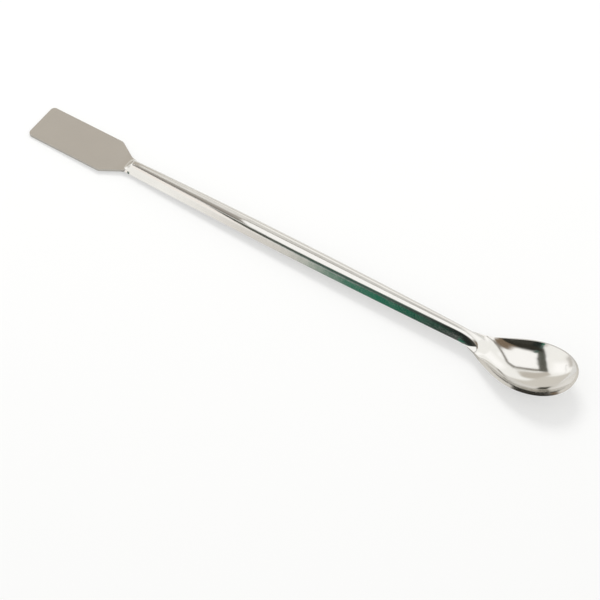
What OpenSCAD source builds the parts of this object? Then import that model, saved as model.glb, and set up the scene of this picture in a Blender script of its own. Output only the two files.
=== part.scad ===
// Double-ended laboratory spatula: a flat blade, a ribbed handle and an oval bowl,
// all pressed from one sheet of stainless steel.
// It is drawn along +X in the sheet's own frame, where z = 0 is the blade's top face.
// Then it is turned the little that sets it down on its bowl and on its blade's end.

/* [Sheet] */
// Thickness of the sheet
sheet_t = 1; // [0.6:0.1:1.4]

/* [Blade] */
// Width of the blade
blade_w = 15.5; // [11:0.5:24]
// Length of the blade's parallel sides
blade_l = 31.5; // [20:0.5:60]
// Length over which the blade narrows to its neck
shoulder_l = 7; // [4:0.5:14]
// Corner radius at the blade's end
corner_r = 1.6; // [0.5:0.1:4]
// Corner radius of the blade's shoulders
shoulder_r = 2.5; // [1:0.5:5]
// Width of the neck, where the blade meets the handle
neck_w = 7; // [6:0.1:9]

/* [Handle] */
// Length of the handle, from the blade's neck to the bowl's flare
handle_l = 139; // [80:1:220]
// Width across the legs beside the blade
legs_w_blade = 6.4; // [5.8:0.1:8]
// Width across the legs halfway along
legs_w_middle = 7.95; // [6.4:0.05:10]
// Width across the legs beside the bowl
legs_w_bowl = 6; // [5.2:0.1:8]
// How far the legs' outer edges lie below the blade's top face, at either end
legs_drop_ends = 0.65; // [0.3:0.05:1.2]
// How far the legs' outer edges lie below the blade's top face, halfway along
legs_drop_middle = 0.3; // [0.1:0.05:1.2]

/* [Rib] */
// Height of the rib over the blade's top face, at either end
rib_h_ends = 2.65; // [1.8:0.05:3.5]
// Height of the rib over the blade's top face, halfway along
rib_h_middle = 2.85; // [2:0.05:4]
// Width across the rib's shoulders beside the blade
rib_w_blade = 2.6; // [2.2:0.1:3.4]
// Width across the rib's shoulders halfway along
rib_w_middle = 3.8; // [3:0.1:5]
// Width across the rib's shoulders beside the bowl
rib_w_bowl = 2.5; // [2.2:0.1:3.6]
// Share of the rib's top that is flat before its shoulders turn
rib_flat_share = 0.3; // [0.1:0.05:0.6]
// Length over which the rib rises out of the blade's neck
rib_rise_l = 3.6; // [2:0.1:8]
// Length over which the rib sinks into the bowl's neck
rib_sink_l = 16; // [8:0.5:22]
// Distance from the rib's end to the bowl's widest place
rib_end_ahead = 17; // [14:0.5:24]

/* [Bowl] */
// Length of the flare, from the handle to the bowl's widest place
flare_l = 27.5; // [20:0.5:40]
// Length from the bowl's widest place to its tip
front_l = 14.4; // [10:0.1:22]
// Width of the bowl inside its lip
bowl_w = 21; // [16:0.1:30]
// Depth of the bowl below its lip
bowl_depth = 5.45; // [4:0.05:8]
// Length of the bowl's slope, from its start in the flare to its widest place
bowl_slope_l = 20.5; // [14:0.5:26]
// How early the bowl's slope drops, where 1 is a plain S-curve
bowl_slope_power = 0.65; // [0.5:0.05:1]
// How flat the bowl's floor is between its walls, where 2 is a parabola
bowl_side_power = 2.3; // [2:0.1:3]
// How much fuller the bowl's walls are than that, as a share of its depth
bowl_fullness_share = 0.35; // [0:0.05:0.6]
// Squareness of the bowl's rounded front, where 2 is an ellipse
front_power = 2.2; // [2:0.1:3]
// Angle at which the bowl's lip rises towards its tip
bowl_tilt = 11.5; // [0:0.5:20]
// Length over which the sheet bends up to that angle
bend_l = 14; // [8:0.5:20]
// Distance from the middle of that bend to the bowl's widest place
bend_ahead = 13; // [9:0.5:18]

/* [Hidden] */

// Where each stretch starts along the sheet
x_neck = blade_l + shoulder_l;
x_crest = x_neck + rib_rise_l;
x_flare = x_neck + handle_l;
x_wide = x_flare + flare_l;
x_slope = x_wide - bowl_slope_l;
x_rib_end = x_wide - rib_end_ahead;
x_tip = x_wide + front_l;

x_bend = x_wide - bend_ahead - bend_l / 2;
x_sink = x_rib_end - rib_sink_l;

// Stations along each stretch
rise_stations = 7;
handle_stations = 11;
sink_stations = 14;
slope_stations = 16;
front_stations = 14;
// The last station stands just short of the tip, where the bowl has no width left
last_angle = 86;

// Points across half a section: the flat of the rib, its shoulder, and its flank and foot
shoulder_points = 7;
foot_points = 6;
corner_points = 6;

// Places of the rib's shoulder and foot in the bowl, as shares of its half width
shoulder_share = 0.38;
foot_share = 0.75;
// How long the rib holds its height as it sinks, and how softly its nose meets the bowl
sink_power = 4;
nose_power = 1.6;
// Width of flange from which its edge is square to it
square_flange = 3;
// Length over which the underside turns from square to the section to square to the skin
square_l = 8;
// Step for slopes worked out from neighbouring points
dx = 0.05;
min_inner_share = 0.15;

function mix(a, b, f) = a + (b - a) * f;
function share(x, x0, x1) = min(1, max(0, (x - x0) / (x1 - x0)));
function ease(f) = f * f * (3 - 2 * f);
function unit(v) = v / norm(v);

// A parabola through a, m and b at the start, the middle and the end of a stretch
function bowed(a, m, b, f) =
    a * (1 - f) * (1 - 2 * f) + 4 * m * f * (1 - f) + b * f * (2 * f - 1);

// A point on the curve that leaves a towards c and reaches b from c
function bend(a, c, b, f) = a * (1 - f) * (1 - f) + c * 2 * f * (1 - f) + b * f * f;

// Half width of the sheet's outline, outside the blade
function half_width(x) =
    x < x_crest ? mix(neck_w, legs_w_blade, ease(share(x, x_neck, x_crest))) / 2
    : x < x_flare ? leg_half(x)
    : x < x_wide ? mix(legs_w_bowl, bowl_w, (1 - cos(180 * share(x, x_flare, x_wide))) / 2) / 2
    : bowl_w / 2 * pow(1 - pow(share(x, x_wide, x_tip), front_power), 1 / front_power);

// Half widths across the legs and across the rib's shoulders, and the rib's height
function along(x) = share(x, x_crest, x_flare);
function leg_half(x) = bowed(legs_w_blade, legs_w_middle, legs_w_bowl, along(x)) / 2;
function rib_half(x) = bowed(rib_w_blade, rib_w_middle, rib_w_bowl, along(x)) / 2;
function rib_height(x) = bowed(rib_h_ends, rib_h_middle, rib_h_ends, along(x));

// How much of the rib stands at x: it rises fast, and sinks slowly and then fast
function rib_rise(x) = ease(share(x, x_neck, x_crest));
function rib_sink(x) = pow(1 - pow(share(x, x_sink, x_rib_end), sink_power), nose_power);

// Level of the sheet's edge: the legs' lower edges, then the bowl's lip
function bend_rise(x) =
    x < x_bend ? 0
    : x < x_bend + bend_l ? pow(x - x_bend, 2) / (2 * bend_l)
    : x - x_bend - bend_l / 2;
function legs_drop(x) = bowed(legs_drop_ends, legs_drop_middle, legs_drop_ends, share(x, x_crest, x_rib_end));
function edge_level(x) = -legs_drop(x) * rib_rise(x) + tan(bowl_tilt) * bend_rise(x);

// Depth of the bowl below its lip at x, at the share v of the half width there
function bowl_reach(x) =
    x < x_wide
        ? ease(pow(share(x, x_slope, x_wide), bowl_slope_power))
        : 1 - pow(share(x, x_wide, x_tip), 2);
function dip(x, v) =
    let (rest = bowl_reach(x) * (1 - pow(v, bowl_side_power)))
    bowl_depth * rest * (1 + bowl_fullness_share * (1 - rest));

// The corners that half a section's skin turns round: crest, shoulder, foot and edge
function corners(x) =
    let (
        f = ease(share(x, x_rib_end, x_wide)),
        b = half_width(x),
        foot = min(b, x < x_crest ? b : leg_half(x)),
        low = edge_level(x),
        high = low + (rib_height(x) + legs_drop(x)) * rib_rise(x) * rib_sink(x),
        shoulder_y = mix(rib_half(x), shoulder_share * b, f)
    )
    [[0, high], [shoulder_y, high], [mix(foot, foot_share * b, f), low], [b, low]];

// Half a section from its crest to its edge, round the given corners
function half_section(c) =
    let (flat_end = mix(c[0], c[1], rib_flat_share), flank = (c[1] + c[2]) / 2)
    concat(
        [c[0]],
        [for (i = [0:shoulder_points - 1]) bend(flat_end, c[1], flank, i / shoulder_points)],
        [for (i = [0:foot_points]) bend(flank, c[2], c[3], i / foot_points)]
    );

// The same corners, moved in by the sheet's thickness. The edge is square to the leg, and
// turns square to the flange as the flange grows
function inner_corners(c) =
    let (
        fall = atan2(c[1][1] - c[2][1], c[2][0] - c[1][0]),
        mitre = sheet_t * tan(fall / 2),
        shoulder_y = max(min_inner_share * c[1][0], c[1][0] - mitre),
        turned = ease(share(c[3][0] - c[2][0], 0, square_flange)),
        lean = fall * (1 - turned),
        edge = c[3] - sheet_t * [sin(lean), cos(lean)]
    )
    [
        c[0] - [0, sheet_t],
        [shoulder_y, c[1][1] - sheet_t],
        mix(edge, [c[2][0] - mitre, c[2][1] - sheet_t], turned),
        edge
    ];

// Half the upper skin at x, as points in space
function skin(x) =
    let (b = half_width(x))
    [for (p = half_section(corners(x))) [x, p[0], p[1] - dip(x, p[0] / b)]];

// Half the lower skin at x: square to the section in the handle, to the skin in the bowl
function underside(x) =
    let (
        here = skin(x),
        back = skin(x - dx),
        n = len(here),
        inner = half_section(inner_corners(corners(x))),
        in_bowl = ease(share(x, x_slope, x_slope + square_l))
    )
    [
        for (i = [0:n - 1])
        let (
            ahead = here[i] - back[i],
            across = here[min(i + 1, n - 1)] - (i == 0 ? mirrored(here[1]) : here[i - 1]),
            below = [x, inner[i][0], inner[i][1] + here[i][2] - half_section(corners(x))[i][1]]
        )
        mix(below, here[i] - sheet_t * unit(cross(ahead, across)), in_bowl)
    ];

function mirrored(p) = [p[0], -p[1], p[2]];
function whole(half) =
    concat([for (i = [len(half) - 1:-1:1]) mirrored(half[i])], half);

stations = concat(
    [for (i = [0:rise_stations - 1]) mix(x_neck, x_crest, i / rise_stations)],
    [for (i = [0:handle_stations - 1]) mix(x_crest, x_sink, i / handle_stations)],
    [for (i = [0:sink_stations - 1]) mix(x_sink, x_rib_end, i / sink_stations)],
    [for (i = [0:slope_stations - 1]) mix(x_rib_end, x_wide, i / slope_stations)],
    [for (i = [0:front_stations]) x_wide + front_l * sin(last_angle * i / front_stations)]
);
upper = [for (x = stations) whole(skin(x))];
lower = [for (x = stations) whole(underside(x))];

// At rest the sheet leans by the angle of the line under the blade's end and the bowl
middle_point = (len(upper[0]) - 1) / 2;
rest_tilt = max([for (row = lower) atan2(-sheet_t - row[middle_point][2], row[middle_point][0])]);
function rested_x(p) = p[0] * cos(rest_tilt) - p[2] * sin(rest_tilt);
rested_l = max([for (row = concat(upper, lower)) for (p = row) rested_x(p)]);

// Arc points that round the corner p between its neighbours a and b
function rounded(a, p, b, r) =
    let (
        u = unit(a - p),
        v = unit(b - p),
        half = acos(u * v) / 2,
        centre = p + unit(u + v) * r / sin(half),
        first = p + u * r / tan(half) - centre,
        last = p + v * r / tan(half) - centre,
        start = atan2(first[1], first[0]),
        turn = atan2(last[1], last[0]) - start,
        sweep = turn > 180 ? turn - 360 : turn < -180 ? turn + 360 : turn
    )
    [
        for (i = [0:corner_points])
        centre + r * [cos(start + sweep * i / corner_points), sin(start + sweep * i / corner_points)]
    ];

// The blade: a flat plate with rounded corners, whose neck the handle grows out of
module blade() {
    end = [0, blade_w / 2];
    shoulder = [blade_l, blade_w / 2];
    neck = [x_neck, neck_w / 2];
    side = concat(rounded([0, 0], end, shoulder, corner_r), rounded(end, shoulder, neck, shoulder_r), [neck]);
    other_side = [for (i = [len(side) - 1:-1:0]) [side[i][0], -side[i][1]]];
    translate([0, 0, -sheet_t])
        linear_extrude(sheet_t)
            polygon(concat(side, other_side));
}

// The pressed sheet from the blade's neck to the bowl's tip, between its two skins
module pressed_sheet() {
    rows = len(stations);
    n = len(upper[0]);
    function at(row, i) = row * n + i;
    function under(row, i) = (rows + row) * n + i;
    function quad(a, b, c, d) = [[a, b, c], [a, c, d]];
    faces = [
        for (r = [0:rows - 2])
        for (i = [0:n - 2])
        for (f = concat(
            quad(at(r, i), at(r, i + 1), at(r + 1, i + 1), at(r + 1, i)),
            quad(under(r, i), under(r + 1, i), under(r + 1, i + 1), under(r, i + 1))
        ))
        f
    ];
    edges = [
        for (r = [0:rows - 2])
        for (f = concat(
            quad(at(r, 0), at(r + 1, 0), under(r + 1, 0), under(r, 0)),
            quad(at(r, n - 1), under(r, n - 1), under(r + 1, n - 1), at(r + 1, n - 1))
        ))
        f
    ];
    ends = [
        for (i = [0:n - 2])
        for (f = concat(
            quad(at(0, i), under(0, i), under(0, i + 1), at(0, i + 1)),
            quad(at(rows - 1, i), at(rows - 1, i + 1), under(rows - 1, i + 1), under(rows - 1, i))
        ))
        f
    ];
    polyhedron(
        points = [for (row = concat(upper, lower)) for (p = row) p],
        faces = concat(faces, edges, ends)
    );
}

module spatula() {
    color([0.77, 0.76, 0.74])
        translate([-rested_l / 2, 0, sheet_t * cos(rest_tilt)])
            rotate([0, -rest_tilt, 0])
                union() {
                    blade();
                    pressed_sheet();
                }
}

spatula();
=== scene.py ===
"""A lab spatula, pressed from one sheet of stainless steel, on a plain pale studio floor.

The sheet, its finishes and the camera are given in millimetres, and the floor, the flags and
the lamp in metres. The sheet is drawn in a frame of its own: it runs along +X from the blade's
end, and z = 0 is the blade's top face. A last turn and shift set it down as it rests, in the
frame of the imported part, which everything else is in from the start.
"""

import logging
import math
from abc import ABC, abstractmethod
from dataclasses import dataclass, fields
from functools import cached_property
from types import SimpleNamespace
from typing import Any, Optional, Union

import bpy
from mathutils import Matrix, Vector


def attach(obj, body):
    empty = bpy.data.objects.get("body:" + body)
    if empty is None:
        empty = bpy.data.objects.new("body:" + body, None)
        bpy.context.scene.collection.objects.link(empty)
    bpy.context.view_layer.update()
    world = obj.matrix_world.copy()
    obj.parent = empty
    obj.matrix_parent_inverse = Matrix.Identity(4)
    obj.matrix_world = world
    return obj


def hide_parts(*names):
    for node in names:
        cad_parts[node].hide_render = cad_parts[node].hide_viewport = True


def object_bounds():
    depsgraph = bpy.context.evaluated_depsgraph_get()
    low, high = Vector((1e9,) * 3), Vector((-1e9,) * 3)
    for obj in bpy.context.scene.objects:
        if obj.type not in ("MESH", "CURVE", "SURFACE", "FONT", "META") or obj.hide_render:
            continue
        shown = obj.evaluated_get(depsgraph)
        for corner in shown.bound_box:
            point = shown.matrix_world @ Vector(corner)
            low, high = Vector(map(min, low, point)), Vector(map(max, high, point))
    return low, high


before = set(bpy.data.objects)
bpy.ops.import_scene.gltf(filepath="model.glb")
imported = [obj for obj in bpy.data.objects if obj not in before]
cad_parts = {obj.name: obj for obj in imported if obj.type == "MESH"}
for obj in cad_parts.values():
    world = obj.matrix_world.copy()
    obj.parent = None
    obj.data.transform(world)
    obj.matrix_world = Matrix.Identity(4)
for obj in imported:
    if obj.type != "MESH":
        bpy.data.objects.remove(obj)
CAD_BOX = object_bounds()

MM = 0.001
WHITE = "ffffff"
log = logging.getLogger("spatula")

Place = tuple[float, float, float]
Colour = tuple[float, float, float, float]
Shade = Union[Colour, bpy.types.NodeSocket]


def linear(colour: str, strength: float = 1.0) -> Colour:
    """Turns an sRGB hex colour into the linear values that shaders take.

    Args:
        colour: The colour as six hex digits.
        strength: How many times as bright it is.

    Returns:
        Red, green, blue and an alpha of 1.
    """
    shares = (int(colour[i : i + 2], 16) / 255 for i in (0, 2, 4))
    red, green, blue = (
        strength * (s / 12.92 if s <= 0.04045 else ((s + 0.055) / 1.055) ** 2.4) for s in shares
    )
    return (red, green, blue, 1.0)


def direction(azimuth: float, elevation: float) -> Vector:
    """Gives the direction of a place in the room.

    Args:
        azimuth: How far round from +X it is, in degrees.
        elevation: How far over the horizon it is, in degrees.

    Returns:
        A vector of length 1.
    """
    turn, rise = math.radians(azimuth), math.radians(elevation)
    level = math.cos(rise)
    return Vector((math.cos(turn) * level, math.sin(turn) * level, math.sin(rise)))


def add_object(name: str, data: bpy.types.ID) -> bpy.types.Object:
    """Adds an object to the scene.

    Args:
        name: The object's name.
        data: Its mesh, camera or lamp.

    Returns:
        The new object.
    """
    added = bpy.data.objects.new(name, data)
    bpy.context.scene.collection.objects.link(added)
    return added


def add_panel(name: str, corners: list[Place], finish: bpy.types.Material) -> bpy.types.Object:
    """Adds a flat panel with four corners.

    Args:
        name: The panel's name.
        corners: Its corners in order, in metres.
        finish: Its material.

    Returns:
        The new panel.
    """
    mesh = bpy.data.meshes.new(name)
    mesh.from_pydata(corners, [], [(0, 1, 2, 3)])
    mesh.materials.append(finish)
    return add_object(name, mesh)


def add_node(
    tree: bpy.types.NodeTree,
    kind: str,
    settings: Optional[dict[str, Any]] = None,
    inputs: Optional[dict[Union[str, int], Any]] = None,
) -> bpy.types.Node:
    """Adds a node to a tree, with its settings and links.

    Args:
        tree: The tree that gets the node.
        kind: The node's type in Blender.
        settings: Values for the node's own properties.
        inputs: A value or a socket to link, for each input socket by name or number.

    Returns:
        The new node.
    """
    node = tree.nodes.new(kind)
    for name, value in (settings or {}).items():
        setattr(node, name, value)
    for key, value in (inputs or {}).items():
        if isinstance(value, bpy.types.NodeSocket):
            tree.links.new(value, node.inputs[key])
        else:
            node.inputs[key].default_value = value
    return node


@dataclass(frozen=True)
class Field:
    """A number that a tree works out at every point, extended with Python's operators."""

    tree: bpy.types.NodeTree
    socket: bpy.types.NodeSocket

    def math(self, operation: str, *terms: "Number") -> "Field":
        """Works out an operation on this number and others.

        Args:
            operation: The operation's name in Blender's Math node.
            terms: The operation's inputs in order, with this number where it is among them.

        Returns:
            The result, at every point.
        """
        values = {i: t.socket if isinstance(t, Field) else float(t) for i, t in enumerate(terms)}
        node = add_node(self.tree, "ShaderNodeMath", {"operation": operation}, values)
        return Field(self.tree, node.outputs[0])

    def __add__(self, other: "Number") -> "Field":
        """Adds a number."""
        return self.math("ADD", self, other)

    def __sub__(self, other: "Number") -> "Field":
        """Takes a number away."""
        return self.math("SUBTRACT", self, other)

    def __rsub__(self, other: "Number") -> "Field":
        """Takes this number away from another."""
        return self.math("SUBTRACT", other, self)

    def __mul__(self, other: "Number") -> "Field":
        """Multiplies by a number."""
        return self.math("MULTIPLY", self, other)

    def __truediv__(self, other: "Number") -> "Field":
        """Divides by a number."""
        return self.math("DIVIDE", self, other)

    def __rtruediv__(self, other: "Number") -> "Field":
        """Divides another number by this one."""
        return self.math("DIVIDE", other, self)

    def __pow__(self, other: "Number") -> "Field":
        """Raises to a power."""
        return self.math("POWER", self, other)

    def least(self, other: "Number") -> "Field":
        """Gives the smaller of two numbers."""
        return self.math("MINIMUM", self, other)

    def most(self, other: "Number") -> "Field":
        """Gives the larger of two numbers."""
        return self.math("MAXIMUM", self, other)

    __radd__ = __add__
    __rmul__ = __mul__


Number = Union[float, Field]


def mix(start: Number, end: Number, way: Number) -> Number:
    """Gives the value that lies a share of the way from start to end."""
    return start + (end - start) * way


def share(x: Field, start: Number, end: Number) -> Field:
    """Gives how far x has come from start to end, from 0 to 1."""
    return ((x - start) / (end - start)).least(1).most(0)


def ease(way: Field) -> Field:
    """Starts and ends a share of the way softly."""
    return way * way * (3 - 2 * way)


def bowed(start: Number, middle: Number, end: Number, way: Field) -> Field:
    """Gives a parabola through a value at its start, one at its middle and one at its end."""
    return (
        start * (1 - way) * (1 - 2 * way) + 4 * middle * way * (1 - way) + end * way * (2 * way - 1)
    )


def bend(start: Number, corner: Number, end: Number, way: Field) -> Field:
    """Gives a curve that leaves start towards a corner and reaches end from that corner."""
    return start * (1 - way) * (1 - way) + 2 * corner * way * (1 - way) + end * way * way


def ramp(x: Field, start: Number, length: Number) -> Field:
    """Gives a line of slope 1 that grows out of a level one, softly over a length."""
    way = (x - start).most(0).least(length)
    return way * way / (2 * length) + (x - start - length).most(0)


def fall_away(radius: Field, way: Field) -> Field:
    """Gives how far a round corner has left its straight edge, after a way along the edge."""
    return radius - ((radius**2 - way * way).most(0)) ** 0.5


@dataclass(frozen=True)
class SheetSizes:
    """Sizes of the pressed sheet, in millimetres unless a name says otherwise."""

    sheet_thickness: float = 1.0
    rest_tilt_degrees: float = 1.25881

    # The blade, from its end to its neck
    blade_width: float = 15.5
    blade_length: float = 31.5
    corner_radius: float = 1.6
    shoulder_length: float = 7.0
    shoulder_radius: float = 2.5
    neck_width: float = 7.0

    # The handle's two legs, whose edges drop below the blade's top face
    handle_length: float = 139.0
    legs_width_blade: float = 6.4
    legs_width_middle: float = 7.95
    legs_width_bowl: float = 6.0
    legs_drop_ends: float = 0.65
    legs_drop_middle: float = 0.3

    # The rib that stands over the legs, and its nose in the bowl's slope
    rib_height_ends: float = 2.65
    rib_height_middle: float = 2.85
    rib_width_blade: float = 2.6
    rib_width_middle: float = 3.8
    rib_width_bowl: float = 2.5
    rib_flat_share: float = 0.3
    rib_rise_length: float = 3.6
    rib_sink_length: float = 16.0
    rib_sink_power: float = 4.0
    rib_nose_power: float = 1.6
    rib_end_ahead: float = 17.0

    # The flare and the bowl, with the bend that lifts its lip
    flare_length: float = 27.5
    front_length: float = 14.4
    front_power: float = 2.2
    bowl_width: float = 21.0
    bowl_depth: float = 5.45
    bowl_fullness_share: float = 0.35
    bowl_slope_length: float = 20.5
    bowl_slope_power: float = 0.65
    bowl_side_power: float = 2.3
    bowl_end_power: float = 2.0
    bowl_tilt_degrees: float = 11.5
    bend_length: float = 14.0
    bend_ahead: float = 13.0

    # The grid's columns: their places across the bowl, and the flange that evens them out
    shoulder_share: float = 0.38
    foot_share: float = 0.75
    flange_width: float = 3.0

    @staticmethod
    def label(name: str) -> str:
        """Gives the name of the tree's input for a size."""
        return name.replace("_", " ").capitalize()


@dataclass(frozen=True)
class Stretch:
    """A stretch of the sheet's length, and the share of the grid's rows that it takes."""

    length: Field
    rows_share: float


@dataclass
class UpperSkin:
    """Works out where the upper skin's points lie, in the sheet's frame and in millimetres.

    The grid's rows run from the blade's end to the bowl's widest place, and from there they
    close round its tip. Its columns run from the crest, at 0, out to the edges, at -1 and 1.
    Two shares of them end the crest's flat and the shoulder, and two smallest values keep a
    division and a power away from zero.
    """

    sizes: SimpleNamespace
    flat_columns: float = 0.1
    shoulder_columns: float = 0.42
    smallest_square: float = 1e-9
    smallest_share: float = 1e-6

    @cached_property
    def rounded(self) -> Field:
        """Gives the length over which the blade's end rows straighten out."""
        return 2 * self.sizes.corner_radius

    @cached_property
    def neck(self) -> Field:
        """Gives the place where the shoulders end and the rib starts."""
        return self.sizes.blade_length + self.sizes.shoulder_length

    @cached_property
    def crest(self) -> Field:
        """Gives the place where the rib has risen."""
        return self.neck + self.sizes.rib_rise_length

    @cached_property
    def flare(self) -> Field:
        """Gives the place where the sheet starts to widen into the bowl."""
        return self.neck + self.sizes.handle_length

    @cached_property
    def widest(self) -> Field:
        """Gives the place where the bowl is widest."""
        return self.flare + self.sizes.flare_length

    @cached_property
    def nose(self) -> Field:
        """Gives the place where the rib ends."""
        return self.widest - self.sizes.rib_end_ahead

    @cached_property
    def sinking(self) -> Field:
        """Gives the place where the rib starts to sink."""
        return self.nose - self.sizes.rib_sink_length

    def along_handle(self, blade: Field, middle: Field, bowl: Field, x: Field) -> Field:
        """Gives a size that changes along the handle, from three of its values."""
        return bowed(blade, middle, bowl, share(x, self.crest, self.flare))

    def legs_width(self, x: Field) -> Field:
        """Gives the width over the legs."""
        s = self.sizes
        return self.along_handle(s.legs_width_blade, s.legs_width_middle, s.legs_width_bowl, x)

    def half_width(self, x: Field) -> Field:
        """Gives half the width of the sheet's outline, up to the bowl's widest place.

        Args:
            x: The place along the sheet.

        Returns:
            Half the width there.
        """
        s = self.sizes
        corner = fall_away(s.corner_radius, s.corner_radius - x.least(s.corner_radius))
        taper = (s.blade_width - s.neck_width) / 2 / s.shoulder_length
        soft = s.shoulder_radius * taper * 0.5
        tapered = ramp(x, s.blade_length - soft, 2 * soft) - (x - self.neck).most(0)
        neck = (s.neck_width - s.legs_width_blade) / 2 * ease(share(x, self.neck, self.crest))
        legs = (self.legs_width(x) - s.legs_width_blade) / 2
        swing = share(x, self.flare, self.widest) * math.pi
        flare = (s.bowl_width - s.legs_width_bowl) / 4 * (1 - swing.math("COSINE", swing))
        return s.blade_width / 2 - corner - taper * tapered - neck + legs + flare

    def rows(self, along: Field) -> tuple[Field, Field]:
        """Spaces the rows, close together where the form turns fast.

        Args:
            along: How far along the grid a row is, from 0 to 1.

        Returns:
            The row's place up to the bowl's widest one, and its share of the way on to the tip.
        """
        s = self.sizes
        stretches = (
            Stretch(self.rounded, 0.04),
            Stretch(s.blade_length - s.shoulder_radius - self.rounded, 0.10),
            Stretch(self.neck - s.blade_length + s.shoulder_radius, 0.06),
            Stretch(s.rib_rise_length, 0.08),
            Stretch(self.sinking - self.crest, 0.20),
            Stretch(self.nose - self.sinking, 0.15),
            Stretch(self.widest - self.nose, 0.18),
        )
        row: Number = 0.0
        start = 0.0
        for stretch in stretches:
            row = row + stretch.length * share(along, start, start + stretch.rows_share)
            start += stretch.rows_share
        return row, share(along, start, 1.0)

    def section(self, row: Field, side: Field, edge: Field) -> tuple[Field, Field]:
        """Follows half a cross-section: the crest's flat, its shoulder, the flank and its foot.

        Args:
            row: The row's place along the sheet.
            side: How far out from the crest a column is, from 0 to 1.
            edge: Half the width there.

        Returns:
            How far out the column's point lies, and how far it has come down the rib, from 0
            on the crest to 1 at the foot.
        """
        s = self.sizes
        to_flat = share(side, 0.0, self.flat_columns)
        to_flank = share(side, self.flat_columns, self.shoulder_columns)
        to_edge = share(side, self.shoulder_columns, 1.0)
        rib = self.along_handle(s.rib_width_blade, s.rib_width_middle, s.rib_width_bowl, row) / 2
        before_crest = row.math("LESS_THAN", row, self.crest)
        foot = edge.least(self.legs_width(row) / 2 + before_crest * s.blade_width)
        in_bowl = ease(share(row, self.nose, self.widest))
        shoulder_y = mix(rib, s.shoulder_share * edge, in_bowl)
        foot_y = mix(foot, s.foot_share * edge, in_bowl)
        flanged = ease(share(edge - foot_y, 0.0, s.flange_width))
        to_foot = mix(1 - (1 - to_edge) ** 0.5, to_edge, flanged)
        flat_y = shoulder_y * s.rib_flat_share
        flank_y = (shoulder_y + foot_y) / 2
        out = (
            flat_y * to_flat
            + bend(flat_y, shoulder_y, flank_y, to_flank)
            - flat_y
            + bend(flank_y, foot_y, edge, to_foot)
            - flank_y
        )
        down = to_flank * to_flank / 2 + (1 - (1 - to_foot) * (1 - to_foot)) / 2
        return out, down

    def level(self, row: Field, x: Field, down: Field, ahead: Field, outward: Field) -> Field:
        """Gives a point's height, from the legs' edges and the lip up the rib or down the bowl.

        Args:
            row: The place along the sheet of the point's row.
            x: The point's own place along it.
            down: How far the point has come down the rib, from 0 to 1.
            ahead: How far it is from the widest place to the tip, from 0 to 1.
            outward: How far it is from the middle to the edge, from 0 to 1.

        Returns:
            The height, over the blade's top face.
        """
        s = self.sizes
        rise = ease(share(row, self.neck, self.crest))
        sink = (1 - share(row, self.sinking, self.nose) ** s.rib_sink_power) ** s.rib_nose_power
        tilt = s.bowl_tilt_degrees * (math.pi / 180)
        bend_start = self.widest - s.bend_ahead - s.bend_length / 2
        lift = tilt.math("TANGENT", tilt) * ramp(x, bend_start, s.bend_length)
        to_nose = share(row, self.crest, self.nose)
        drop = bowed(s.legs_drop_ends, s.legs_drop_middle, s.legs_drop_ends, to_nose)
        ends, middle = s.rib_height_ends, s.rib_height_middle
        standing = (self.along_handle(ends, middle, ends, row) + drop) * rise * sink
        into = share(x, self.widest - s.bowl_slope_length, self.widest) ** s.bowl_slope_power
        inside = ease(into) * (1 - ahead**s.bowl_end_power)
        deep = inside * (1 - outward.most(self.smallest_share) ** s.bowl_side_power)
        dip = s.bowl_depth * deep * (1 + s.bowl_fullness_share * (1 - deep))
        return lift - drop * rise + standing * (1 - down) - dip

    def point(self, along: Field, across: Field) -> tuple[Field, Field, Field]:
        """Places a point of the grid.

        Args:
            along: How far along the rows it is, from 0 to 1.
            across: How far across it is, from -1 to 1.

        Returns:
            Its x, y and z.
        """
        s = self.sizes
        row, front = self.rows(along)
        side = across.math("ABSOLUTE", across)
        sign = across.math("SIGN", across)

        # The blade's end row bows back at its corners, so that the corners are round
        bowing = 1 - share(row, 0.0, self.rounded)
        edge = self.half_width(row + s.corner_radius * (1 - math.sqrt(0.5)) * bowing)
        out, down = self.section(row, side, edge)
        reach = out / edge
        straight = s.blade_width / 2 - s.corner_radius
        in_corner = (reach * (straight + s.corner_radius * math.sqrt(0.5)) - straight).most(0)
        bow = fall_away(s.corner_radius, in_corner) * bowing

        # The bowl's front rows close round its tip, as a square grid fills a half disc
        ahead = front * (1 - reach * reach / 2) ** 0.5
        beside = reach * (1 - front * front / 2) ** 0.5
        outward = beside / ((1 - ahead * ahead).most(self.smallest_square) ** 0.5)
        narrowed = edge * (1 - ahead**s.front_power).most(0) ** (1 / s.front_power)
        x = row + bow + s.front_length * ahead
        return x, outward * narrowed * sign, self.level(row, x, down, ahead, outward)


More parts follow.
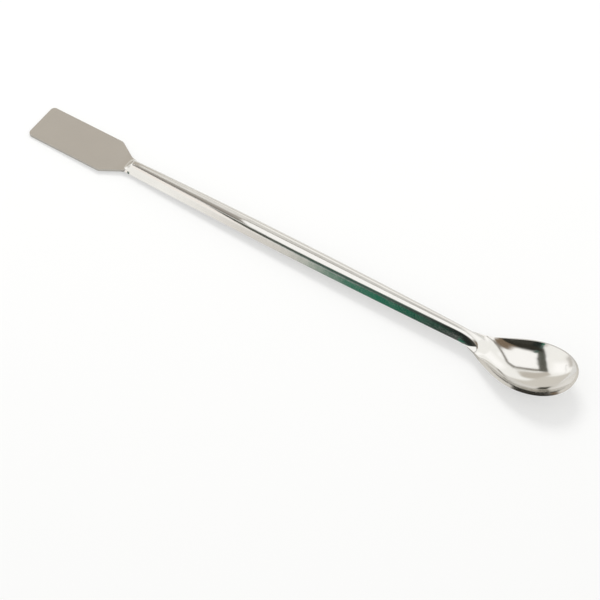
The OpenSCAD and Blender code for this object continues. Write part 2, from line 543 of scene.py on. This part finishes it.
@dataclass
class PressedSheet:
    """The spatula itself: a blade, a ribbed handle and a bowl in one pressed sheet.

    Geometry nodes shape a flat grid into the sheet's upper skin and grow it downwards by the
    sheet's thickness. Bevel then takes the sharpness off its cut edges.
    """

    sizes: SheetSizes = SheetSizes()
    edge_radius: float = 0.16
    edge_segments: int = 3
    edge_angle_degrees: float = 50.0
    merge_gap: float = 0.001
    rows: int = 420
    columns: int = 67
    name: str = "pressed_sheet"

    def inputs(self, tree: bpy.types.NodeTree) -> bpy.types.NodeOutputs:
        """Gives a tree its named inputs, one for each size, and its output.

        Args:
            tree: The sheet's tree.

        Returns:
            The sockets that hold what the inputs are set to.
        """
        kinds = {"Rows": "Int", "Columns": "Int", "Steel": "Material", "Cut edge": "Material"}
        kinds.update({SheetSizes.label(size.name): "Float" for size in fields(self.sizes)})
        for name, kind in kinds.items():
            tree.interface.new_socket(name, in_out="INPUT", socket_type=f"NodeSocket{kind}")
        tree.interface.new_socket("Sheet", in_out="OUTPUT", socket_type="NodeSocketGeometry")
        return add_node(tree, "NodeGroupInput").outputs

    def skin(
        self, tree: bpy.types.NodeTree, given: bpy.types.NodeOutputs, sizes: SimpleNamespace
    ) -> bpy.types.NodeSocket:
        """Shapes a flat grid, 1 long and from -1 to 1 across, into the upper skin.

        Args:
            tree: The sheet's tree.
            given: What the tree's inputs are set to.
            sizes: The sizes among them.

        Returns:
            The skin, leaning as the sheet rests.
        """
        grid = add_node(
            tree,
            "GeometryNodeMeshGrid",
            inputs={
                "Size X": 1.0,
                "Size Y": 2.0,
                "Vertices X": given["Rows"],
                "Vertices Y": given["Columns"],
            },
        )
        place = add_node(tree, "GeometryNodeInputPosition")
        axes = add_node(tree, "ShaderNodeSeparateXYZ", inputs={0: place.outputs[0]}).outputs
        x, y, z = UpperSkin(sizes).point(Field(tree, axes["X"]) + 0.5, Field(tree, axes["Y"]))
        point = add_node(
            tree,
            "ShaderNodeCombineXYZ",
            inputs={"X": (x * MM).socket, "Y": (y * MM).socket, "Z": (z * MM).socket},
        )
        shaped = add_node(
            tree,
            "GeometryNodeSetPosition",
            inputs={"Geometry": grid.outputs["Mesh"], "Position": point.outputs[0]},
        )
        tilt = (sizes.rest_tilt_degrees * (-math.pi / 180)).socket
        turn = add_node(tree, "ShaderNodeCombineXYZ", inputs={"Y": tilt})
        turned = add_node(
            tree,
            "GeometryNodeTransform",
            inputs={"Geometry": shaped.outputs[0], "Rotation": turn.outputs[0]},
        )
        return turned.outputs[0]

    def thickened(
        self, tree: bpy.types.NodeTree, skin: bpy.types.NodeSocket, thickness: Field
    ) -> tuple[bpy.types.NodeSocket, bpy.types.NodeSocket]:
        """Closes the sheet: the skin, flipped and grown, gives the cut edge and the underside.

        Args:
            tree: The sheet's tree.
            skin: The upper skin.
            thickness: The sheet's thickness, in millimetres.

        Returns:
            The closed sheet, and which of its faces are cut edge.
        """
        flipped = add_node(tree, "GeometryNodeFlipFaces", inputs={"Mesh": skin})
        grown = add_node(
            tree,
            "GeometryNodeExtrudeMesh",
            {"mode": "FACES"},
            {
                "Mesh": flipped.outputs[0],
                "Offset Scale": (thickness * MM).socket,
                "Individual": False,
            },
        )
        both = add_node(tree, "GeometryNodeJoinGeometry", inputs={0: grown.outputs["Mesh"]})
        tree.links.new(skin, both.inputs[0])
        closed = add_node(
            tree,
            "GeometryNodeMergeByDistance",
            inputs={"Geometry": both.outputs[0], "Distance": self.merge_gap * MM},
        )
        return closed.outputs[0], grown.outputs["Side"]

    def tree(self) -> bpy.types.NodeTree:
        """Builds the geometry nodes.

        Returns:
            A tree that makes the whole sheet from its sizes.
        """
        tree = bpy.data.node_groups.new("Pressed sheet", "GeometryNodeTree")
        given = self.inputs(tree)
        sizes = SimpleNamespace(
            **{s.name: Field(tree, given[SheetSizes.label(s.name)]) for s in fields(self.sizes)}
        )
        skin = self.skin(tree, given, sizes)
        closed, cut = self.thickened(tree, skin, sizes.sheet_thickness)
        last = add_node(tree, "GeometryNodeSetShadeSmooth", inputs={0: closed})
        last = add_node(tree, "GeometryNodeRealizeInstances", inputs={0: last.outputs[0]})
        for faces, finish in ((True, "Steel"), (cut, "Cut edge")):
            last = add_node(
                tree,
                "GeometryNodeSetMaterial",
                inputs={0: last.outputs[0], "Selection": faces, "Material": given[finish]},
            )
        add_node(tree, "NodeGroupOutput", inputs={"Sheet": last.outputs[0]})
        return tree

    def build(self, steel: bpy.types.Material, edge: bpy.types.Material) -> bpy.types.Object:
        """Builds the sheet as one plain mesh.

        Args:
            steel: The finish of the two skins.
            edge: The finish of the cut edges.

        Returns:
            The finished piece, in place.
        """
        maker = add_object("sheet_maker", bpy.data.meshes.new("sheet_maker"))
        shape = maker.modifiers.new("Shape", "NODES")
        shape.node_group = self.tree()
        values: dict[str, Any] = {"Rows": self.rows, "Columns": self.columns}
        values.update({"Steel": steel, "Cut edge": edge})
        for size in fields(self.sizes):
            values[SheetSizes.label(size.name)] = getattr(self.sizes, size.name)
        for socket in shape.node_group.interface.items_tree:
            if socket.in_out == "INPUT":
                shape[socket.identifier] = values[socket.name]
        bevel = maker.modifiers.new("Edges", "BEVEL")
        bevel.width = self.edge_radius * MM
        bevel.segments = self.edge_segments
        bevel.limit_method = "ANGLE"
        bevel.angle_limit = math.radians(self.edge_angle_degrees)
        bevel.harden_normals = True
        evaluated = maker.evaluated_get(bpy.context.evaluated_depsgraph_get())
        mesh = bpy.data.meshes.new_from_object(evaluated)
        bpy.data.objects.remove(maker)
        mesh.materials.pop(index=0)  # the grid's own empty slot
        tilt = math.radians(self.sizes.rest_tilt_degrees)
        lift = self.sizes.sheet_thickness * MM * math.cos(tilt)
        mesh.transform(Matrix.Translation((CAD_BOX[0].x, 0.0, lift)))
        mesh.name = self.name
        return add_object(self.name, mesh)


@dataclass(frozen=True)
class Grain:
    """An uneven pattern, by the size of its marks in millimetres along X, Y and Z."""

    mark: tuple[float, float, float]
    detail: float

    def over(self, tree: bpy.types.NodeTree, millimetres: bpy.types.NodeSocket) -> Field:
        """Draws the pattern over a surface.

        Args:
            tree: The material's tree.
            millimetres: Object coordinates in millimetres.

        Returns:
            A number from 0 to 1 at every point.
        """
        scale = tuple(1 / size for size in self.mark)
        laid = add_node(tree, "ShaderNodeMapping", inputs={0: millimetres, "Scale": scale})
        settings = {0: laid.outputs[0], "Scale": 1.0, "Detail": self.detail}
        return Field(tree, add_node(tree, "ShaderNodeTexNoise", inputs=settings).outputs[0])


@dataclass(frozen=True)
class Relief:
    """What a finish varies over its surface: its roughness, its wear and its height."""

    roughness: Field
    wear: Field
    height: Field


@dataclass(frozen=True)
class StainlessSteel(ABC):
    """Bare stainless steel, a neutral and slightly warm grey, in one of its finishes."""

    name: str
    colour: str
    worn_colour: str

    @abstractmethod
    def relief(self, tree: bpy.types.NodeTree, millimetres: bpy.types.NodeSocket) -> Relief:
        """Works out what the finish varies.

        Args:
            tree: The material's tree.
            millimetres: Object coordinates in millimetres.

        Returns:
            The roughness, the wear from 0 to 1, and the height in millimetres.
        """

    def material(self) -> bpy.types.Material:
        """Builds the material.

        Returns:
            The material.
        """
        made = bpy.data.materials.new(self.name)
        made.use_nodes = True
        tree = made.node_tree
        shader = tree.nodes["Principled BSDF"].inputs
        shader["Metallic"].default_value = 1.0
        metres = add_node(tree, "ShaderNodeTexCoord").outputs["Object"]
        scaled = add_node(tree, "ShaderNodeMapping", inputs={0: metres, "Scale": (1 / MM,) * 3})
        relief = self.relief(tree, scaled.outputs[0])
        tone = add_node(
            tree,
            "ShaderNodeMix",
            {"data_type": "RGBA"},
            {
                "Factor": relief.wear.socket,
                "A": linear(self.colour),
                "B": linear(self.worn_colour),
            },
        )
        bump = add_node(
            tree,
            "ShaderNodeBump",
            inputs={"Strength": 1.0, "Distance": 1.0, "Height": (relief.height * MM).socket},
        )
        tree.links.new(relief.roughness.socket, shader["Roughness"])
        tree.links.new(tone.outputs["Result"], shader["Base Color"])
        tree.links.new(bump.outputs[0], shader["Normal"])
        return made


@dataclass(frozen=True)
class TumbledSteel(StainlessSteel):
    """Stainless steel, pressed and then polished by tumbling.

    Bright and nearly mirror-like on the handle and in the bowl. The blade is rubbed flat, which
    leaves it satin: it blurs what it reflects into one even grey. The tumbling leaves fine lines
    along the sheet and faint clouds, and the press leaves ripples a few millimetres long, which
    bend what the steel reflects.
    """

    name: str = "stainless_steel_tumbled"
    colour: str = "dbd9d5"
    worn_colour: str = "d5d3cf"
    bowl_roughness: float = 0.10
    handle_roughness: float = 0.11
    blade_roughness: float = 0.24
    roughness_spread: float = 0.06

    # Places along X, from the object's middle, where the satin fades out and the bowl begins
    blade_end: float = -71.5
    blade_fade: float = 3.0
    bowl_start: float = 66.0
    bowl_fade: float = 10.0

    # The tumbling's lines are hundredths of a millimetre wide: this is as fine as they show
    lines: Grain = Grain((16.667, 0.385, 0.385), detail=3.0)
    line_depth: float = 0.0004

    # The clouds and the press's ripples have their real size
    clouds: Grain = Grain((6.667, 6.667, 6.667), detail=2.0)
    ripples: Grain = Grain((4.545, 4.545, 4.545), detail=1.0)
    ripple_depth: float = 0.012

    def relief(self, tree: bpy.types.NodeTree, millimetres: bpy.types.NodeSocket) -> Relief:
        """Works out what the finish varies: satin on the blade, bright beyond it.

        Args:
            tree: The material's tree.
            millimetres: Object coordinates in millimetres.

        Returns:
            The roughness, the wear from 0 to 1, and the height in millimetres.
        """
        axes = add_node(tree, "ShaderNodeSeparateXYZ", inputs={0: millimetres})
        x = Field(tree, axes.outputs["X"])
        lines, clouds, ripples = (
            grain.over(tree, millimetres) for grain in (self.lines, self.clouds, self.ripples)
        )
        off_blade = ease(share(x, self.blade_end - self.blade_fade, self.blade_end))
        in_bowl = ease(share(x, self.bowl_start, self.bowl_start + self.bowl_fade))
        rough = mix(self.blade_roughness, self.handle_roughness, off_blade)
        rough = mix(rough, self.bowl_roughness, in_bowl)
        rough = rough + (lines - 0.5) * self.roughness_spread
        rough = rough + (clouds - 0.5) * self.roughness_spread
        return Relief(rough, clouds, lines * self.line_depth + ripples * self.ripple_depth)


@dataclass(frozen=True)
class ShearedSteel(StainlessSteel):
    """The same steel where the blank was sheared from its sheet, then tumbled.

    It is duller than the skins and a little uneven, with the shear's fine upright lines.
    """

    name: str = "stainless_steel_sheared"
    colour: str = "bfbbb4"
    worn_colour: str = "b3afa8"
    roughness: float = 0.18
    roughness_spread: float = 0.1

    # The specks of wear and the shear's lines are both finer than this, which lets them show
    specks: Grain = Grain((0.6667, 0.6667, 0.6667), detail=2.0)
    lines: Grain = Grain((0.25, 0.25, 3.3333), detail=1.0)
    line_depth: float = 0.0015

    def relief(self, tree: bpy.types.NodeTree, millimetres: bpy.types.NodeSocket) -> Relief:
        """Works out what the finish varies: specks of wear, and lines across the cut.

        Args:
            tree: The material's tree.
            millimetres: Object coordinates in millimetres.

        Returns:
            The roughness, the wear from 0 to 1, and the height in millimetres.
        """
        specks = self.specks.over(tree, millimetres)
        rough = self.roughness + (specks - 0.5) * self.roughness_spread
        return Relief(rough, specks, self.lines.over(tree, millimetres) * self.line_depth)


@dataclass(frozen=True)
class Viewpoint:
    """The camera: a long lens in front of the bowl and over it. Its azimuth is from -Y."""

    target: Place = (14.069, -17.773, 3.744)
    azimuth_degrees: float = 31.744
    elevation_degrees: float = 53.262
    roll_degrees: float = 1.642
    distance: float = 734.375
    lens: float = 129.455
    sensor_width: float = 36.0
    nearest: float = 10.0
    farthest: float = 20000.0

    def build(self) -> bpy.types.Object:
        """Builds the camera and makes it the scene's own.

        Returns:
            The camera.
        """
        back = direction(self.azimuth_degrees - 90, self.elevation_degrees)
        data = bpy.data.cameras.new("camera")
        data.lens = self.lens
        data.sensor_width = self.sensor_width
        data.clip_start = self.nearest * MM
        data.clip_end = self.farthest * MM
        camera = add_object("camera", data)
        camera.location = (Vector(self.target) + back * self.distance) * MM
        looking = (-back).to_track_quat("-Z", "Y").to_matrix()
        roll = Matrix.Rotation(math.radians(self.roll_degrees), 3, "Z")
        camera.rotation_mode = "QUATERNION"
        camera.rotation_quaternion = (looking @ roll).to_quaternion()
        bpy.context.scene.camera = camera
        return camera


@dataclass(frozen=True)
class Card:
    """A painted reflection of a card or lamp, far enough away to show the whole sheet one side.

    It reaches from one direction to another, each given as azimuth and elevation in degrees.
    Its half width and the softness of its edges are shares of its distance. A direction counts
    as ahead of it from a least share of that distance, so that none meets it edge-on.
    """

    start: tuple[float, float]
    end: tuple[float, float]
    half_width: float
    colour: str
    strength: float = 1.0
    softness: float = 0.05
    least_ahead: float = 0.001

    def over(
        self, tree: bpy.types.NodeTree, way: bpy.types.NodeSocket, behind: Shade
    ) -> bpy.types.NodeSocket:
        """Lays the card over what is behind it.

        Args:
            tree: The world's tree.
            way: The direction that is looked in.
            behind: The colour there without the card.

        Returns:
            The colour with the card.
        """
        first, last = direction(*self.start), direction(*self.end)
        middle = (first + last).normalized()
        length = (last - first).normalized()
        half_length = math.tan(first.angle(last) / 2)
        ahead, along, beside = (
            Field(
                tree,
                add_node(
                    tree, "ShaderNodeVectorMath", {"operation": "DOT_PRODUCT"}, {0: way, 1: axis}
                ).outputs["Value"],
            )
            for axis in (middle, length, middle.cross(length))
        )
        depth = ahead.most(self.least_ahead)
        soft = self.softness
        inside = ahead.math("GREATER_THAN", ahead, self.least_ahead)
        for reach, half in ((along, half_length), (beside, self.half_width)):
            beyond = reach.math("ABSOLUTE", reach) / depth
            inside = inside * ease(share(beyond, half + soft, half - soft))
        laid = add_node(
            tree,
            "ShaderNodeMix",
            {"data_type": "RGBA"},
            {
                "Factor": inside.socket,
                "A": behind,
                "B": linear(self.colour, self.strength),
            },
        )
        return laid.outputs["Result"]


@dataclass(frozen=True)
class Flag:
    """A small glowing flag, a painted reflection that only one nearby part of the sheet mirrors.

    It reaches from one corner to another and leans along X, if they differ in height. Its
    colour goes from one tone to another along Y.
    """

    name: str
    start: Place
    end: Place
    near_colour: str
    far_colour: str
    strength: float = 1.0

    def material(self) -> bpy.types.Material:
        """Builds the flag's painted reflection: an even glow that lights nothing, with no gloss of
        its own.

        Returns:
            The material.
        """
        made = bpy.data.materials.new("reflection_only_glow")
        made.use_nodes = True
        tree = made.node_tree
        tree.nodes.clear()
        place = add_node(tree, "ShaderNodeTexCoord").outputs["Object"]
        y = Field(tree, add_node(tree, "ShaderNodeSeparateXYZ", inputs={0: place}).outputs["Y"])
        tone = add_node(
            tree,
            "ShaderNodeMix",
            {"data_type": "RGBA"},
            {
                "Factor": share(y, self.start[1], self.end[1]).socket,
                "A": linear(self.near_colour),
                "B": linear(self.far_colour),
            },
        )
        lit = add_node(
            tree,
            "ShaderNodeEmission",
            inputs={"Color": tone.outputs["Result"], "Strength": self.strength},
        )
        add_node(tree, "ShaderNodeOutputMaterial", inputs={"Surface": lit.outputs[0]})
        return made

    def build(self) -> bpy.types.Object:
        """Builds the flag, which only the steel's reflections show.

        Returns:
            The flag.
        """
        (x0, y0, z0), (x1, y1, z1) = self.start, self.end
        corners = [(x0, y0, z0), (x1, y0, z1), (x1, y1, z1), (x0, y1, z0)]
        flag = add_panel(self.name, corners, self.material())
        flag.visible_camera = flag.visible_diffuse = flag.visible_shadow = False
        return flag


@dataclass(frozen=True)
class Studio:
    """A plain pale floor under soft light, with cards round it for the steel to reflect."""

    # The cards are painted reflections: metal shows them, but they light nothing
    # Each card lies over those before it
    cards: tuple[Card, ...] = (
        # A large soft lamp beyond the blade's end, one at the back, and a grey card low down
        Card((166, 20), (-160, 20), 0.26, WHITE, 1.45, softness=0.15),
        Card((52, 38), (96, 38), 0.25, WHITE, 1.42, softness=0.12),
        Card((-178, 3), (-150, 3), 0.07, "dad5cf", softness=0.09),
        # The room's greyer corner behind the blade, and a darker patch on it
        Card((112, 22), (148, -25), 0.67, "eeeae2", softness=0.06),
        Card((123, 42), (158, 34), 0.10, "dad4ca", softness=0.04),
        # The lamp overhead, its dark rim round three sides, and the bar that carries it
        Card((97, 62), (-112, 44), 0.50, WHITE, 1.35, softness=0.04),
        Card((-25, 66), (98, 62), 0.040, "8a867d", softness=0.035),
        Card((98, 62), (122, 53), 0.040, "8f8b83", softness=0.03),
        Card((122, 53), (160, 46), 0.045, "99958c", softness=0.03),
        Card((-60, 48), (-25, 66), 0.05, "8a8378", softness=0.05),
        Card((156, 42), (-177.5, 51.5), 0.100, "6b6a62", softness=0.03),
        Card((180, 51), (-142.5, 48), 0.105, "64645c", softness=0.03),
        Card((-145, 48.5), (-109, 22), 0.100, "60625a", softness=0.03),
        # Dark cards in front of the sheet, and a brown one where the camera stands
        Card((-90, 43), (-87, -8), 0.34, "43423c", softness=0.13),
        Card((-102, 37), (-100.5, -8), 0.105, "272d2a", softness=0.02),
        Card((-44, 59), (-67, 30), 0.20, "8c7a66", softness=0.09),
        # Beside the dark ones a dull green card, and under it a pale one and a green one
        Card((-114, 43), (-108.5, 14), 0.040, "48655b", softness=0.025),
        Card((-112, 13), (-110, -8), 0.045, "f8f3ee", softness=0.03),
        Card((-107.6, 13), (-105.7, -8), 0.040, "1b745a", softness=0.006),
    )

    # The first three slope down towards the bowl, which sees them edge-on
    # Glowing flags that paint reflections on the crest, the flank, the blade and the lip
    flags: tuple[Flag, ...] = (
        Flag("crest_flag", (-0.095, -0.026, 0.0546), (-0.035, 0.022, 0.0385), "86817a", "d2cdc6"),
        Flag(
            "flank_flag",
            (-0.140, -0.150, 0.0666),
            (-0.060, -0.037, 0.0452),
            "fffaf6",
            "fffaf6",
            strength=1.25,
        ),
        Flag("blade_flag", (-0.170, 0.002, 0.0595), (-0.088, 0.075, 0.0424), "d0c9bf", "d0c9bf"),
        # A dark sheet that paints a dark reflection along the bowl's near lip
        Flag("lip_flag", (0.079, -0.028, 0.0205), (0.116, -0.0155, 0.0200), "38362f", "38362f"),
    )

    # The room round the cards as metal shows it, and the even light that it gives
    room: str = "f4f4f2"
    room_strength: float = 1.38
    room_light: float = 0.8

    # The paper floor, and the shares of white over it where camera or metal sees it
    floor: str = "f2f2f0"
    floor_reach: float = 4.0
    lift_seen: float = 0.45
    lift_mirrored: float = 0.25

    # The soft lamp that gives the shadow
    key_place: Place = (-0.35, 0.45, 0.80)
    key_size: float = 0.45
    key_power: float = 4.0

    def paint_room(self) -> None:
        """Paints the room: even for the light it gives, with its cards where metal shows it."""
        world = bpy.data.worlds.new("room")
        world.use_nodes = True
        bpy.context.scene.world = world
        tree = world.node_tree
        tree.nodes.clear()
        way = add_node(tree, "ShaderNodeTexCoord").outputs["Generated"]
        colour: Shade = linear(self.room, self.room_strength)
        for card in self.cards:
            colour = card.over(tree, way, colour)
        mirrored, even, white = (
            add_node(tree, "ShaderNodeBackground", inputs={"Color": tone, "Strength": strength})
            for tone, strength in (
                (colour, 1.0),
                (linear(WHITE), self.room_light),
                (linear(WHITE), 1.0),
            )
        )
        path = add_node(tree, "ShaderNodeLightPath").outputs
        lit = add_node(
            tree,
            "ShaderNodeMixShader",
            inputs={0: path["Is Glossy Ray"], 1: even.outputs[0], 2: mirrored.outputs[0]},
        )
        seen = add_node(
            tree,
            "ShaderNodeMixShader",
            inputs={0: path["Is Camera Ray"], 1: lit.outputs[0], 2: white.outputs[0]},
        )
        add_node(tree, "ShaderNodeOutputWorld", inputs={"Surface": seen.outputs[0]})

    def paper(self) -> bpy.types.Material:
        """Builds matt paper, which takes a soft shadow and is near white to camera and metal.

        Returns:
            The material.
        """
        made = bpy.data.materials.new("matt_paper")
        made.use_nodes = True
        tree = made.node_tree
        tree.nodes.clear()
        matt = add_node(tree, "ShaderNodeBsdfDiffuse", inputs={"Color": linear(self.floor)})
        white = add_node(tree, "ShaderNodeEmission", inputs={"Color": linear(WHITE)})
        path = add_node(tree, "ShaderNodeLightPath").outputs
        seen = (
            Field(tree, path["Is Camera Ray"]) * self.lift_seen
            + Field(tree, path["Is Glossy Ray"]) * self.lift_mirrored
        )
        shown = add_node(
            tree,
            "ShaderNodeMixShader",
            inputs={0: seen.socket, 1: matt.outputs[0], 2: white.outputs[0]},
        )
        add_node(tree, "ShaderNodeOutputMaterial", inputs={"Surface": shown.outputs[0]})
        return made

    def lay_floor(self) -> bpy.types.Object:
        """Lays the floor.

        Returns:
            The floor.
        """
        far = self.floor_reach
        corners = [(-far, -far, 0), (far, -far, 0), (far, far, 0), (-far, far, 0)]
        floor = add_panel("floor", corners, self.paper())
        return floor

    def hang_key(self) -> bpy.types.Object:
        """Hangs the soft lamp that gives the shadow.

        Returns:
            The lamp.
        """
        data = bpy.data.lights.new("key", "AREA")
        data.shape = "DISK"
        data.size = self.key_size
        data.energy = self.key_power
        lamp = add_object("key", data)
        lamp.location = self.key_place
        lamp.rotation_mode = "QUATERNION"
        lamp.rotation_quaternion = (-Vector(self.key_place)).to_track_quat("-Z", "Y")
        lamp.visible_glossy = False
        return lamp

    def build(self) -> None:
        """Builds the room, the floor, the flags and the lamp."""
        self.paint_room()
        self.lay_floor()
        for flag in self.flags:
            flag.build()
        self.hang_key()
        bpy.context.scene.view_settings.view_transform = "Standard"


def main() -> None:
    """Builds the spatula and its studio."""
    logging.basicConfig(level=logging.INFO, format="%(name)s: %(message)s")
    Studio().build()
    Viewpoint().build()
    piece = PressedSheet().build(TumbledSteel().material(), ShearedSteel().material())
    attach(piece, "root")
    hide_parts("spatula")
    log.info("%s: %d faces", piece.name, len(piece.data.polygons))


if __name__ == "__main__":
    main()
